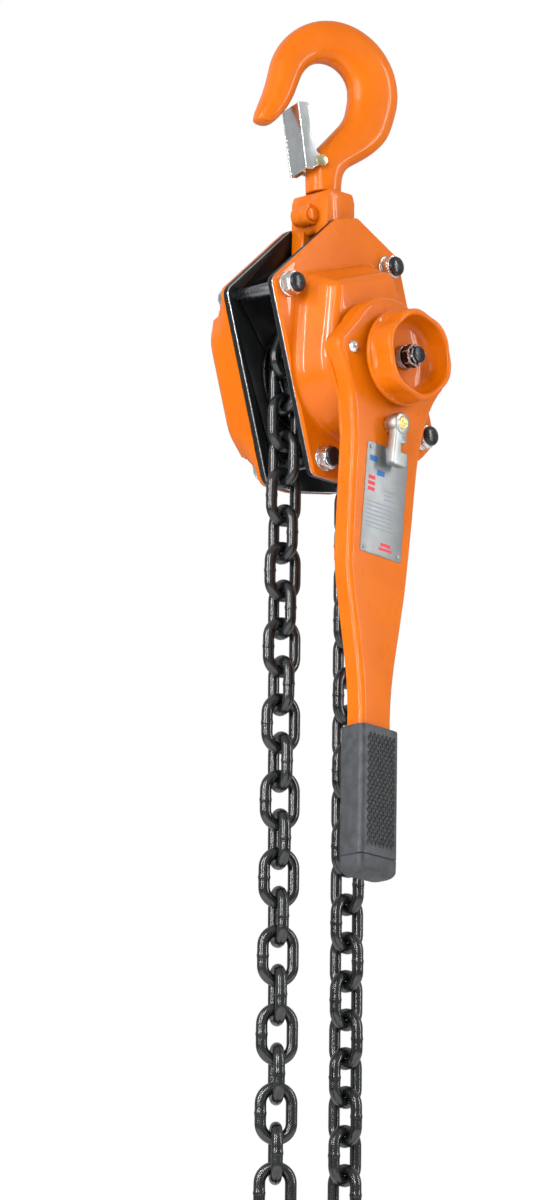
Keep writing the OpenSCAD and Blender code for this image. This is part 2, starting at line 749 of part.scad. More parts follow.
module selector_shaft() {
    color("goldenrod") in_lever() translate([0, 0, selector_w]) {
        rod(selector_shaft_r - 1, 65.5, 70);
        rod(selector_shaft_r, 69.5, 96);
    }
}
module change_pawl() {
    color("dimgray") in_lever() translate([0, 0, selector_w]) difference() {
        slab(71, 77.5) polygon(filleted([
            [-18, 15, 1.5], [-13.5, 20.2, 1], [-6, 13, 6], [6, 13, 6], [13.5, 20.2, 1], [18, 15, 1.5], [9, -9, 6],
            [-9, -9, 6]
        ]));
        rod(selector_shaft_r + drill_fit, 60, 90);
    }
}
module selector_arm() {
    color("silver") in_lever() translate([0, 0, selector_w]) difference() {
        union() {
            rod(9, 85, selector_front);
            slab(selector_front - 8, selector_front) polygon(filleted([
                [-6, 0, 2], [6, 0, 2], [8.5, -12, 3], [9, -33, 3], [-8, -33, 3], [-6, -12, 4]
            ]));
            slab(86, selector_front) polygon(filleted([[-8, -23, 2], [9, -23, 2], [9, -33, 3], [-8, -33, 3]]));
        }
        rod(selector_shaft_r + drill_fit, 80, 96 + drill_fit);
    }
}

// ---- hand wheel ----

flutes = 6;
function wheel_wall(a, r) = r - 2.6 * pow(max(cos(flutes * a), 0), 2);
module wheel_outline(inset) {
    polygon([for (a = [0:3:357]) wheel_wall(a, wheel_r - 1.2 - inset) * [cos(a), sin(a)]]);
}
module hand_wheel() {
    color("darkorange") in_body() difference() {
        union() {
            rod(wheel_r, wheel_base, wheel_base + 3.5);
            slab(wheel_base + 3, wheel_front) wheel_outline(0);
        }
        slab(wheel_base + 4, wheel_front + 1) wheel_outline(4);
        rod(spline_r + eps, 80, 120);
    }
}
module wheel_spring() {
    color("silver") in_body() rotate([90, 0, 0]) for (k = [0:3]) translate([0, 0, wheel_base + 4.9 + 1.25 * k])
        rotate_extrude($fn = 32) translate([9, 0]) circle(r = 0.7, $fn = 16);
}
module castle_nut() {
    color("#1d1f21") in_body() difference() {
        union() {
            hex_rod(nut_flats, nut_back + 0.1, 105);
            rod(7.8, 104, shaft_end - 1);
        }
        rod(stud_r + drill_fit, 90, 120);
        for (a = [0, 60, 120]) rotate([0, a, 0]) translate([-10, -110, -1.25]) cube([20, 4, 2.5]);
    }
}
module cotter_pin() {
    color("silver") in_body() cotter(cotter_r);
}

// ---- bottom end ----

bottom_x = sheave_x + run_x;
chain_pin_z = run_z(run_links - 1) - sheave_drop - link_hl + wire_r + chain_pin_r + 0.15;
// The bottom hook is the top hook turned over, its shank up.
module in_bottom() { translate([bottom_x, 0, chain_pin_z + bottom_lug_z]) mirror([0, 0, 1]) children(); }

module bottom_chain_pin() { color("dimgray") translate([bottom_x, 0, chain_pin_z]) rod(chain_pin_r, -20, 20); }
module bottom_yoke_half(side) {
    color("darkorange") in_bottom() yoke_half_shape(side, [0, bottom_lug_z], 12, chain_pin_r);
}
module bottom_yoke_front_half() { bottom_yoke_half(1); }
module bottom_yoke_back_half() { bottom_yoke_half(-1); }
module bottom_yoke_rivets() { color("darkorange") in_bottom() yoke_rivets_shape(); }
module bottom_hook() { color("darkorange") in_bottom() hook_shape(); }
module bottom_latch() { color("silver") in_bottom() latch_shape(); }
module bottom_latch_pin() { color("silver") in_bottom() latch_pin_shape(); }
module bottom_latch_spring() { color("dimgray") in_bottom() latch_spring_shape(); }

top_hook();
top_latch();
top_latch_pin();
top_latch_spring();
yoke_front_half();
yoke_back_half();
yoke_rivets();
top_pin();
front_side_plate();
back_side_plate();
brake_cover();
gear_cover();
stay_bolts();
front_washers();
front_nuts();
back_nuts();
sheave_bearings();
chain_stripper();
load_sheave();
load_gear();
load_gear_ring();
wrapped_chain();
upper_disc_gear();
lower_disc_gear();
pinion_shaft();
friction_hub();
friction_discs();
ratchet_disc();
upper_pawl();
lower_pawl();
pawl_pins();
pawl_springs();
change_gear();
lever_front();
lever_back();
lever_rivets();
rubber_grip();
rating_plate();
rating_plate_rivets();
selector_shaft();
selector_arm();
change_pawl();
hand_wheel();
wheel_spring();
castle_nut();
cotter_pin();
load_chain_lead();
load_chain();
tail_chain_lead();
tail_chain();
tail_stop_ring();
bottom_chain_pin();
bottom_yoke_front_half();
bottom_yoke_back_half();
bottom_yoke_rivets();
bottom_hook();
bottom_latch();
bottom_latch_pin();
bottom_latch_spring();
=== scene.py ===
"""Looks of the lever chain hoist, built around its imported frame.

Lengths inside the script are millimetres in a few upright working frames: the hoist's body, its
lever, each hook and the sheave's hanging runs. place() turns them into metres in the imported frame.
Depth is towards the viewer, so a depth of 30 is y = -30.
"""

import json
import math

import bmesh
import bpy
from mathutils import Matrix, Vector


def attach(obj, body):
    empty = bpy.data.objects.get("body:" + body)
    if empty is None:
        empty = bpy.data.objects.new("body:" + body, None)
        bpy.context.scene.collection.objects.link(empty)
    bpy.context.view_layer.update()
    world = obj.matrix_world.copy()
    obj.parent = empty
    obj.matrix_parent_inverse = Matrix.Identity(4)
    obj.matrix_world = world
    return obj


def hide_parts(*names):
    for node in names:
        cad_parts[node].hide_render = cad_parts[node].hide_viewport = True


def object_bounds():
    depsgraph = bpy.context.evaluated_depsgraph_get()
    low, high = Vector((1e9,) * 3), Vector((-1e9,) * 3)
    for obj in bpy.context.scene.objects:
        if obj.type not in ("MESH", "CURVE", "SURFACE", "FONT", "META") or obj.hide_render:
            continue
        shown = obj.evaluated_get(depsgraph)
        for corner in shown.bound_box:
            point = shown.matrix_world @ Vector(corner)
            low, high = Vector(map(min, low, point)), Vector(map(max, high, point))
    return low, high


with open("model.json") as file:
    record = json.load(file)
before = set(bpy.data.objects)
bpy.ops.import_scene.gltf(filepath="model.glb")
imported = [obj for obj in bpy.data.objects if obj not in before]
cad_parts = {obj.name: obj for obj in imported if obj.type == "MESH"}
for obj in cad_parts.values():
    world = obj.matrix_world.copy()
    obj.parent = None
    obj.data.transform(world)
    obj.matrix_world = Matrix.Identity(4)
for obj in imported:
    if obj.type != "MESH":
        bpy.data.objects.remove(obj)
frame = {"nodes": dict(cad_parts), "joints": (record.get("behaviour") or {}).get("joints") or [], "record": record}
cad_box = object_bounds()
JOINTS = {j["name"]: j for j in frame["joints"]}
MM = 0.001


# ---- frames ----


def joint_at(name):
    """Where a joint's axis passes, in metres."""
    return Vector(JOINTS[name]["pos_m"])


def upright_frame(origin, up, out=Vector((0, 1, 0))):
    """A frame with its third axis along up, its second along out and millimetres as its unit."""
    up = up.normalized()
    right = out.cross(up).normalized()
    turn = Matrix((right, out.normalized(), up)).transposed().to_4x4()
    return Matrix.Translation(origin) @ turn @ Matrix.Scale(MM, 4)


SHEAVE = joint_at("sheave_turn")
BODY = upright_frame(SHEAVE, joint_at("upper_disc_gear_turn") - SHEAVE)
LEVER = upright_frame(SHEAVE, SHEAVE - joint_at("selector_turn"))
TOP_HOOK = upright_frame(Vector((0, 0, 0)), Vector((0, 0, 1)), Vector(JOINTS["top_latch_swing"]["axis"]))
BOTTOM_BOWL = next(m for m in frame["record"]["mounts"] if m["name"] == "bottom_hook_bowl")
BOTTOM_HOOK = upright_frame(Vector(BOTTOM_BOWL["pos_m"]), Vector((0, 0, -1)), Vector((0, -1, 0)))
RUNS = upright_frame(SHEAVE, Vector((0, 0, 1)))

# Link: half width and half length are to the middle of the wire. The weld is a narrow ridge.
PITCH = 30.0
WIRE_R = 4.5
LINK_HW = 12.0
LINK_HL = 19.55
WELD_HEIGHT, WELD_SPREAD = 0.45, 1.3
LEG_STEPS, BEND_STEPS, WIRE_POINTS = 10, 24, 16

# Hanging runs: distance from the sheave's axis, first link's drop below it, and links in a run.
RUN_X = 38.0
RUN_FIRST = 14.2
RUN_LINKS = 23
LEAD_LINKS = 2
LEAD_SLACK = 0.3
TWIST = math.radians(1.95)

# Links wrapped over the sheave: radii of those that lie in their pockets and those that stand.
WRAPPED_LINKS = 4
LYING_R, STANDING_R = 34.0, 37.0

# The lever's front face, and its arm, which leans outwards below the bend.
LEVER_FRONT = 82.5
ARM_BEND = -170.0
ARM_LEAN = math.radians(4.6)
GRIP_TOP, GRIP_END = -296.0, -412.0
GRIP_HALF_WIDTH, GRIP_THICKNESS, GRIP_CORNER = 20.5, 25.0, 4.5
GRIP_FRONT = LEVER_FRONT + 4.5

# The covers' pressed flange, and how far their crowns stand.
FLANGE_BACK, FLANGE_FRONT = 27.5, 30.5
DOME_TOP, CROWN_DEPTH = 61.8, 62.0
HULL_POINTS = 120

# Points round a hook's section, and how square its bowl is (2 is an ellipse).
HOOK_POINTS = 28
HOOK_POWER = 2.5


# ---- mesh tools ----


def place(name, verts, faces, where, body, slot, *replaced, smooth=40, material=None):
    """Makes a piece from points in a working frame, lets it ride on a body and hides what it replaces."""
    mesh = bpy.data.meshes.new(name)
    mesh.from_pydata([where @ Vector(v) for v in verts], [], faces)
    bm = bmesh.new()
    bm.from_mesh(mesh)
    bmesh.ops.remove_doubles(bm, verts=bm.verts, dist=2e-6)
    bmesh.ops.recalc_face_normals(bm, faces=bm.faces)
    bm.to_mesh(mesh)
    bm.free()
    obj = bpy.data.objects.new(name, mesh)
    bpy.context.scene.collection.objects.link(obj)
    mesh.materials.append(material or MATERIALS[slot])
    mesh.shade_smooth()
    mesh.set_sharp_from_angle(angle=math.radians(smooth))
    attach(obj, body)
    if replaced:
        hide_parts(*replaced)
    return obj


def rings_to_mesh(rings, closed=False, caps=(True, True)):
    """Quads between rings of equal length. closed joins the last ring to the first."""
    n = len(rings[0])
    verts = [p for ring in rings for p in ring]
    faces = []
    for i in range(len(rings) if closed else len(rings) - 1):
        a, b = i * n, (i + 1) % len(rings) * n
        faces += [(a + k, a + (k + 1) % n, b + (k + 1) % n, b + k) for k in range(n)]
    if not closed:
        if caps[0]:
            faces.append(tuple(range(n)))
        if caps[1]:
            faces.append(tuple(range(len(verts) - n, len(verts))))
    return verts, faces


def merged(parts):
    """Several (verts, faces) as one."""
    verts, faces = [], []
    for v, f in parts:
        base = len(verts)
        verts += v
        faces += [tuple(base + i for i in face) for face in f]
    return verts, faces


def circle(r, n=48, at=(0, 0)):
    """n points of a circle."""
    return [
        (at[0] + r * math.cos(math.tau * i / n), at[1] + r * math.sin(math.tau * i / n))
        for i in range(n)
    ]


def ring_at(points, depth):
    """An outline's points at one depth."""
    return [(x, -depth, z) for x, z in points]


def quarter_turn(steps, first=0):
    """Sine and cosine at even steps over a right angle, for rounded edges."""
    return [
        (math.sin(math.pi / 2 * k / steps), math.cos(math.pi / 2 * k / steps))
        for k in range(first, steps + 1)
    ]


def smoothstep(lo, hi, x):
    """0 below lo, 1 above hi, and a smooth rise between."""
    t = min(max((x - lo) / (hi - lo), 0), 1)
    return t * t * (3 - 2 * t)


def lathe(profile, n=48, at=(0, 0)):
    """Turns a profile of (radius, depth) about a line towards the viewer."""
    return rings_to_mesh([ring_at(circle(r, n, at), depth) for r, depth in profile])


def arc(cx, cy, r, start, end, n=6):
    """Points of a circular arc, in degrees."""
    return [
        (cx + r * math.cos(math.radians(start + (end - start) * i / n)),
         cy + r * math.sin(math.radians(start + (end - start) * i / n)))
        for i in range(n + 1)
    ]


def filleted(corners, steps=6):
    """A closed outline from (x, y, fillet radius) corners."""
    out = []
    n = len(corners)
    for i in range(n):
        a, b, c = (Vector(corners[(i + k) % n][:2]) for k in (-1, 0, 1))
        r = corners[i][2]
        u, v = (a - b).normalized(), (c - b).normalized()
        half = u.angle(v) / 2
        mid = b + (u + v).normalized() * (r / math.sin(half))
        p, q = b + u * (r / math.tan(half)) - mid, b + v * (r / math.tan(half)) - mid
        turn = p.angle_signed(q)
        for k in range(steps + 1):
            rot = Matrix.Rotation(-turn * k / steps, 2)
            out.append(tuple(mid + rot @ p))
    return out


def outline_normals(pts):
    """Outward normals of an outline, a little longer at corners so that an inset keeps its width."""
    area = sum(a[0] * b[1] - b[0] * a[1] for a, b in zip(pts, pts[1:] + pts[:1]))
    sign = 1 if area > 0 else -1
    out = []
    for i, p in enumerate(pts):
        a, b = Vector(pts[i - 1]), Vector(pts[(i + 1) % len(pts)])
        here = Vector(p)
        e1, e2 = (here - a), (b - here)
        n1 = Vector((e1.y, -e1.x)).normalized() if e1.length > 1e-9 else Vector((0, 0))
        n2 = Vector((e2.y, -e2.x)).normalized() if e2.length > 1e-9 else Vector((0, 0))
        n = (n1 + n2).normalized()
        stretch = 1 / max(n.dot(n1) if n1.length else 1, 0.6)
        out.append(n * sign * stretch)
    return out


def dense(pts, step=4.0):
    """The outline with long edges cut into pieces of about step."""
    out = []
    for a, b in zip(pts, pts[1:] + pts[:1]):
        count = max(1, round(math.dist(a, b) / step))
        out += [
            (a[0] + (b[0] - a[0]) * k / count, a[1] + (b[1] - a[1]) * k / count)
            for k in range(count)
        ]
    return out


def rounded_slab(pts, back, front, r_front, r_back=0.0, steps=4):
    """An outline extruded towards the viewer with rounded edges."""
    normals = outline_normals(pts)

    def ring(inset, depth):
        return [(p[0] - n.x * inset, -depth, p[1] - n.y * inset) for p, n in zip(pts, normals)]

    if r_back:
        rings = [ring(r_back * (1 - s), back + r_back * (1 - c)) for s, c in quarter_turn(steps)]
    else:
        rings = [ring(0, back)]
    rings += [ring(r_front * (1 - c), front - r_front * (1 - s)) for s, c in quarter_turn(steps)]
    return rings_to_mesh(rings)


# ---- materials ----


def principled(name, color, metallic, roughness, **inputs):
    """A material with one shader. Further inputs are named with _ for a space."""
    mat = bpy.data.materials.new(name)
    mat.use_nodes = True
    shader = mat.node_tree.nodes["Principled BSDF"]
    shader.inputs["Base Color"].default_value = (*color, 1)
    shader.inputs["Metallic"].default_value = metallic
    shader.inputs["Roughness"].default_value = roughness
    for key, value in inputs.items():
        shader.inputs[key.replace("_", " ")].default_value = value
    return mat


def noise(mat, scale, detail=3.0):
    """Noise in the object's own space, with scale in lumps per metre."""
    nodes, links = mat.node_tree.nodes, mat.node_tree.links
    coords = nodes.new("ShaderNodeTexCoord")
    tex = nodes.new("ShaderNodeTexNoise")
    tex.inputs["Scale"].default_value = scale
    tex.inputs["Detail"].default_value = detail
    links.new(coords.outputs["Object"], tex.inputs["Vector"])
    return tex.outputs["Fac"]


def ramp(mat, value, low, high, at=(0.35, 0.65)):
    """Maps a value to a range of greys or colours."""
    node = mat.node_tree.nodes.new("ShaderNodeValToRGB")
    for element, color, pos in zip(node.color_ramp.elements, (low, high), at):
        element.position = pos
        element.color = (*color, 1) if hasattr(color, "__len__") else (color, color, color, 1)
    mat.node_tree.links.new(value, node.inputs["Fac"])
    return node.outputs["Color"]


def set_input(mat, name, output):
    """Feeds an output into one input of the material's shader."""
    mat.node_tree.links.new(output, mat.node_tree.nodes["Principled BSDF"].inputs[name])


def add_bump(mat, height, strength, distance):
    """Gives the surface relief, with distance in metres."""
    bump = mat.node_tree.nodes.new("ShaderNodeBump")
    bump.inputs["Strength"].default_value = strength
    bump.inputs["Distance"].default_value = distance
    mat.node_tree.links.new(height, bump.inputs["Height"])
    set_input(mat, "Normal", bump.outputs["Normal"])


def mixed(mat, fac, a, b):
    """Mixes two colours by a factor."""
    node = mat.node_tree.nodes.new("ShaderNodeMix")
    node.data_type = "RGBA"
    mat.node_tree.links.new(fac, node.inputs["Factor"])
    for key, value in (("A", a), ("B", b)):
        socket = next(s for s in node.inputs if s.name == key and s.type == "RGBA")
        if hasattr(value, "is_output"):
            mat.node_tree.links.new(value, socket)
        else:
            socket.default_value = (*value, 1)
    return next(s for s in node.outputs if s.type == "RGBA")


def orange_paint():
    """Gloss orange paint with a faint orange peel, uneven film and small chips down to primer."""
    gloss = {"Coat_Weight": 0.28, "Coat_Roughness": 0.02, "Specular_IOR_Level": 0.15}
    mat = principled("orange_paint", (0.7, 0.165, 0.004), 0.0, 0.36, **gloss)
    film = ramp(mat, noise(mat, 26), (0.55, 0.113, 0.0005), (0.6, 0.128, 0.0015))
    chips = ramp(mat, noise(mat, 900, 6), 0.0, 1.0, (0.765, 0.775))
    set_input(mat, "Base Color", mixed(mat, chips, film, (0.3, 0.13, 0.05)))
    set_input(mat, "Roughness", ramp(mat, noise(mat, 60), 0.26, 0.36))
    add_bump(mat, noise(mat, 160, 2), 0.06, 0.00015)
    return mat


def black_plate():
    """Blackened plate, semi-gloss, with dust specks."""
    mat = principled("black_plate", (0.007, 0.0075, 0.008), 0.0, 0.4, Specular_IOR_Level=0.3)
    specks = ramp(mat, noise(mat, 1100, 5), 0.0, 1.0, (0.73, 0.76))
    set_input(mat, "Base Color", mixed(mat, specks, (0.007, 0.0075, 0.008), (0.14, 0.14, 0.135)))
    set_input(mat, "Roughness", ramp(mat, noise(mat, 80), 0.28, 0.46))
    add_bump(mat, noise(mat, 260), 0.1, 0.0001)
    return mat


def chain_black():
    """Hardened chain, black and shiny, a little uneven in colour."""
    mat = principled("chain_black", (0.01, 0.011, 0.012), 0.0, 0.2, Specular_IOR_Level=0.8)
    set_input(mat, "Base Color", ramp(mat, noise(mat, 120), (0.003, 0.0034, 0.004), (0.01, 0.011, 0.012)))
    set_input(mat, "Roughness", ramp(mat, noise(mat, 40, 1), 0.17, 0.22))
    return mat


def metal(name, color, roughness, grain=500, contrast=0.08, bump=0.08):
    """A bare or plated metal with fine grain, whose roughness varies by contrast either way."""
    mat = principled(name, color, 1.0, roughness)
    low = tuple(c * 0.88 for c in color)
    set_input(mat, "Base Color", ramp(mat, noise(mat, 90), low, color))
    set_input(mat, "Roughness", ramp(mat, noise(mat, grain, 4), roughness - contrast, roughness + contrast))
    add_bump(mat, noise(mat, grain), bump, 0.00004)
    return mat


def rubber():
    """Moulded black rubber, slightly greyed."""
    mat = principled("black_rubber", (0.03, 0.032, 0.035), 0.0, 0.48)
    set_input(mat, "Base Color", ramp(mat, noise(mat, 140), (0.026, 0.029, 0.033), (0.045, 0.049, 0.055)))
    set_input(mat, "Roughness", ramp(mat, noise(mat, 500), 0.42, 0.58))
    add_bump(mat, noise(mat, 900), 0.12, 0.0001)
    return mat


def plain_black(name, color, roughness, grain, rough_range):
    """Black moulding whose gloss varies with a noise of the given grain."""
    mat = principled(name, color, 0.0, roughness)
    set_input(mat, "Roughness", ramp(mat, noise(mat, grain), *rough_range))
    return mat


def printed(name, color):
    """Printing ink on the plate, a little uneven."""
    mat = principled(name, color, 0.0, 0.45)
    set_input(mat, "Base Color", ramp(mat, noise(mat, 2500), tuple(c * 0.85 for c in color), color))
    return mat


def lining():
    """Moulded friction lining, mottled brown."""
    mat = principled("friction_lining", (0.12, 0.06, 0.03), 0.0, 0.8)
    set_input(mat, "Base Color", ramp(mat, noise(mat, 700), (0.09, 0.045, 0.02), (0.2, 0.11, 0.06)))
    return mat


MATERIALS = {
    "orange_paint": orange_paint(),
    "black_plate": black_plate(),
    "black_steel": metal("black_steel", (0.045, 0.046, 0.05), 0.3),
    "chain_black": chain_black(),
    "zinc": metal("zinc", (0.8, 0.83, 0.84), 0.26, 60, 0.04, 0.01),
    "machined_steel": metal("machined_steel", (0.3, 0.3, 0.32), 0.35),
    "spring_steel": metal("spring_steel", (0.45, 0.45, 0.47), 0.3),
    "friction_lining": lining(),
    "yellow_brass": metal("yellow_brass", (0.8, 0.62, 0.25), 0.28),
    "black_rubber": rubber(),
    "label_aluminium": metal("label_aluminium", (0.4, 0.415, 0.42), 0.55, 900, 0.05, 0.02),
}

# Looks that differ from a slot's own
CAST = metal("cast_zinc", (0.45, 0.47, 0.465), 0.42, 350, 0.08, 0.08)
# Lighter metal for bevelled edges: a painted highlight, the thin bright line along an edge
EDGE_HIGHLIGHT_METAL = metal("painted_edge_highlight", (0.55, 0.58, 0.6), 0.3)
# Darker rubber for the grip's raised diamonds: painted shade, giving them the dark look of recessed cells
RECESS_SHADE_RUBBER = plain_black("recess_shade_rubber", (0.01, 0.011, 0.012), 0.42, 500, (0.36, 0.5))
BRASS_HEAD = metal("brass_head", (0.75, 0.66, 0.4), 0.25, 300, 0.05, 0.02)
STAY = metal("stay_grey", (0.2, 0.205, 0.215), 0.32)
CAP = plain_black("cap_black", (0.01, 0.01, 0.011), 0.22, 300, (0.16, 0.3))
RED_INK = printed("red_ink", (0.62, 0.02, 0.03))
BLUE_INK = printed("blue_ink", (0.01, 0.12, 0.36))
GREY_INK = printed("grey_ink", (0.2, 0.24, 0.3))

# CAD nodes whose look differs from their slot's
SPECIAL = {
    "stay_bolts": STAY,
    "pinion_shaft": MATERIALS["black_steel"],
    "top_latch_pin": BRASS_HEAD,
    "bottom_latch_pin": BRASS_HEAD,
}

# The material slot of each CAD node
SLOTS = {s["node"]: s["material_slot"] for s in frame["record"]["subparts"]}

# Width in millimetres of the softened edges of each slot
SOFT_EDGE = {
    "orange_paint": 1.2,
    "zinc": 0.5,
    "black_plate": 0.6,
    "black_steel": 0.5,
    "yellow_brass": 0.4,
    "label_aluminium": 0.15,
    "machined_steel": 0.4,
}
# Width in millimetres of the bevels that carry the painted edge highlight
BRIGHT_EDGE = 0.7


def soften_edges(node, obj):
    """Bevels a CAD node's sharp edges in the picture, and gives some of them a lighter metal as a painted
    highlight.
    """
    weld = obj.modifiers.new("weld", "WELD")
    weld.merge_threshold = 1e-6
    bevel = obj.modifiers.new("edges", "BEVEL")
    bevel.width = SOFT_EDGE[SLOTS[node]] * MM
    bevel.segments = 2
    bevel.limit_method = "ANGLE"
    bevel.angle_limit = math.radians(50)
    bevel.harden_normals = True
    # the side plates' and the castle nut's bevels take the lighter metal, a painted edge highlight
    if node.endswith("side_plate") or node == "castle_nut":
        bevel.width = BRIGHT_EDGE * MM
        bevel.use_clamp_overlap = False
        obj.data.materials.append(EDGE_HIGHLIGHT_METAL)
        bevel.material = 1


def finish_cad_nodes():
    """Gives every carried-over CAD node its material and softened edges."""
    for node, obj in frame["nodes"].items():
        obj.data.materials.clear()
        obj.data.materials.append(SPECIAL.get(node, MATERIALS[SLOTS[node]]))
        obj.data.shade_smooth()
        obj.data.set_sharp_from_angle(angle=math.radians(30))
        if SLOTS[node] in SOFT_EDGE:
            soften_edges(node, obj)


# ---- chain ----


def link_path():
    """The middle of a link's wire: a bend and a straight leg, twice."""
    straight = LINK_HL - LINK_HW
    path = []
    for up in (1, -1):
        for k in range(BEND_STEPS + 1):
            a = math.pi * k / BEND_STEPS
            path.append((up * LINK_HW * math.cos(a), up * (straight + LINK_HW * math.sin(a))))
        for k in range(1, LEG_STEPS):
            path.append((-up * LINK_HW, up * (straight - 2 * straight * k / LEG_STEPS)))
    return path


def link_mesh(spin, height):
    """One welded link, its long axis up, turned by spin about it, with its middle at height."""
    path = link_path()
    rings = []
    for i, (x, z) in enumerate(path):
        a, b = path[i - 1], path[(i + 1) % len(path)]
        t = Vector((b[0] - a[0], 0, b[1] - a[1])).normalized()
        out = Vector((t.z, 0, -t.x))
        on_left_leg = x < -LINK_HW + 0.5
        r = WIRE_R + (WELD_HEIGHT * math.exp(-((z / WELD_SPREAD) ** 2)) if on_left_leg else 0)
        ring = [Vector((x, 0, z)) + out * u + Vector((0, 1, 0)) * v for u, v in circle(r, WIRE_POINTS)]
        rings.append(ring)
    turn = Matrix.Rotation(spin, 3, "Z")
    shift = Vector((0, 0, height))
    verts, faces = rings_to_mesh(rings, closed=True)
    return [turn @ v + shift for v in verts], faces


def run_height(k):
    """Height of the middle of a run's link k, from the sheave's axis."""
    return -RUN_FIRST - PITCH * k + (0 if k < LEAD_LINKS else LEAD_SLACK)


def chain_run(name, body, side, first, last):
    """Hanging links first to last on the load side (1) or the tail side (-1), which twists a little."""
    parts = []
    for k in range(first, last + 1):
        if side > 0:
            spin = 0 if k % 2 == 0 else math.pi / 2
        else:
            spin = (math.pi / 2 if k % 2 == 0 else 0) - TWIST * k
        verts, faces = link_mesh(spin, run_height(k))
        parts.append(([v + Vector((side * RUN_X, 0, 0)) for v in verts], faces))
    place(name + "_links", *merged(parts), RUNS, body, "chain_black", name, smooth=60)


def chains():
    """Both hanging runs, each with its first links apart, and the links over the sheave."""
    chain_run("load_chain_lead", "load_chain_lead", 1, 0, LEAD_LINKS - 1)
    chain_run("load_chain", "load_chain", 1, LEAD_LINKS, RUN_LINKS - 1)
    chain_run("tail_chain_lead", "tail_chain_lead", -1, 0, LEAD_LINKS - 1)
    chain_run("tail_chain", "tail_chain", -1, LEAD_LINKS, RUN_LINKS - 1)
    parts = []
    for i in range(WRAPPED_LINKS):
        angle = math.pi / WRAPPED_LINKS * (i + 0.5)
        standing = i % 2 == 1
        r = STANDING_R if standing else LYING_R
        verts, faces = link_mesh(0 if standing else math.pi / 2, 0)
        turn = Matrix.Rotation(-angle, 3, "Y")
        parts.append(([turn @ (v + Vector((r, 0, 0))) for v in verts], faces))
    place("wrapped_links", *merged(parts), RUNS, "load_sheave", "chain_black", "wrapped_chain", smooth=60)


# ---- lever ----


def lean_out(p):
    """A point of the lever's arm, leaning outwards below the bend."""
    x, y, z = p
    if z >= ARM_BEND:
        return p
    dy, dz = y + LEVER_FRONT, z - ARM_BEND
    c, s = math.cos(ARM_LEAN), math.sin(ARM_LEAN)
    return (x, -LEVER_FRONT + dy * c + dz * s, ARM_BEND - dy * s + dz * c)


def lever_outline():
    """The lever's front outline: a round head with two lobes, a flared arm and a straight neck."""
    right = []
    right += arc(0, 0, 50, 90, 22, 14)[:-1]
    right += arc(47, -2, 14, 52, -48, 10)
    right += [(50.5, -22), (45.6, -33)]
    right += [(42.4, -42), (40, -54), (37.6, -68), (36.6, -84), (35.9, -102), (35.5, -120), (34.6, -146)]
    right += [(33.5, -170), (31.6, -184), (29, -198), (26.4, -213), (23.5, -228), (20.8, -243), (18.6, -258)]
    right += [(17.3, -272), (16.8, -286), (16.8, -302)]
    left = [(-x, z) for x, z in reversed(right[1:])]
    return right + left


def lever_shell():
    """The lever's pressing: a rounded front face and walls that reach back over the rear half."""
    pts = dense(lever_outline(), 3.5)
    normals = outline_normals(pts)

    def ring(inset, depth):
        return [
            lean_out((p[0] - n.x * inset, -depth, p[1] - n.y * inset)) for p, n in zip(pts, normals)
        ]

    wall_back, r = 66.6, 4.6
    rings = [ring(1.6, wall_back), ring(0.5, wall_back), ring(0, wall_back + 0.6)]
    rings += [ring(r * (1 - c), LEVER_FRONT - r * (1 - s)) for s, c in quarter_turn(6)]
    verts, faces = rings_to_mesh(rings, caps=(False, False))
    # the front face is closed in rows, so that it folds only at the arm's bend
    n, base = len(pts), len(verts) - len(pts)
    for k in range(n // 2):
        row = [base + k, base + k + 1, base + (n - k - 1) % n, base + (n - k) % n]
        faces.append(tuple(dict.fromkeys(row)))
    faces = [f for f in faces if len(f) > 2]
    place("lever_pressing", verts, faces, LEVER, "lever", "orange_paint", "lever_front", smooth=35)


def grip_section(w, shrink):
    """The grip's rounded rectangle at height w, made smaller all round by shrink."""
    a, b = GRIP_HALF_WIDTH - shrink, GRIP_THICKNESS / 2 - shrink
    mid = GRIP_FRONT - GRIP_THICKNESS / 2
    r = GRIP_CORNER
    pts = []
    for corner, (side, end) in enumerate(((1, 1), (-1, 1), (-1, -1), (1, -1))):
        pts += arc(side * (a - r), end * (b - r), r, 90 * corner, 90 * corner + 90, 6)
    return [lean_out((x, -(mid + y), w)) for x, y in pts]


def grip_sleeve():
    """The rubber grip: a rounded sleeve with a groove near its rounded, closed end."""
    seam, end_r = -397.0, 7.0
    stations = [(GRIP_TOP, 1.0), (GRIP_TOP - 0.5, 0.2), (GRIP_TOP - 1.5, 0.0)]
    stations += [(w, 0.0) for w in (-320, -345, -370, -390, seam + 0.6)]
    stations += [(seam, 0.7), (seam - 0.6, 0.0)]
    stations += [(GRIP_END + end_r * (1 - s), end_r * (1 - c)) for s, c in quarter_turn(7, first=1)]
    rings = [grip_section(w, shrink) for w, shrink in stations]
    place("grip_sleeve", *rings_to_mesh(rings), LEVER, "lever", "black_rubber", "rubber_grip", smooth=40)


def grip_diamonds():
    """Rows of raised diamonds on the grip's front, inside a plain border, in a darker rubber that paints the shade
    of recessed cells.
    """
    step_x, step_z, share, height, buried = 4.3, 6.2, 0.47, 0.9, 0.2
    left, right, bottom, top = -13.5, 16.5, -388.0, -303.0
    rows = int((top - bottom) / step_z * 2) + 1
    columns = int((right - left) / step_x) + 1

    def corners(cx, cz, size, depth):
        half_x, half_z = step_x * share * size, step_z * share * size
        low = [(cx - half_x, cz), (cx, cz - half_z), (cx + half_x, cz), (cx, cz + half_z)]
        return [lean_out((x, -depth, z)) for x, z in low]

    parts = []
    for i in range(rows):
        for j in range(columns):
            cx = left + step_x * (j + (0.5 if i % 2 else 0))
            cz = bottom + step_z / 2 * i
            if cx <= right:
                foot = corners(cx, cz, 1.0, GRIP_FRONT - buried)
                head = corners(cx, cz, 0.5, GRIP_FRONT + height)
                parts.append(rings_to_mesh([foot, head]))
    place("grip_diamonds", *merged(parts), LEVER, "lever", "black_rubber", smooth=20, material=RECESS_SHADE_RUBBER)


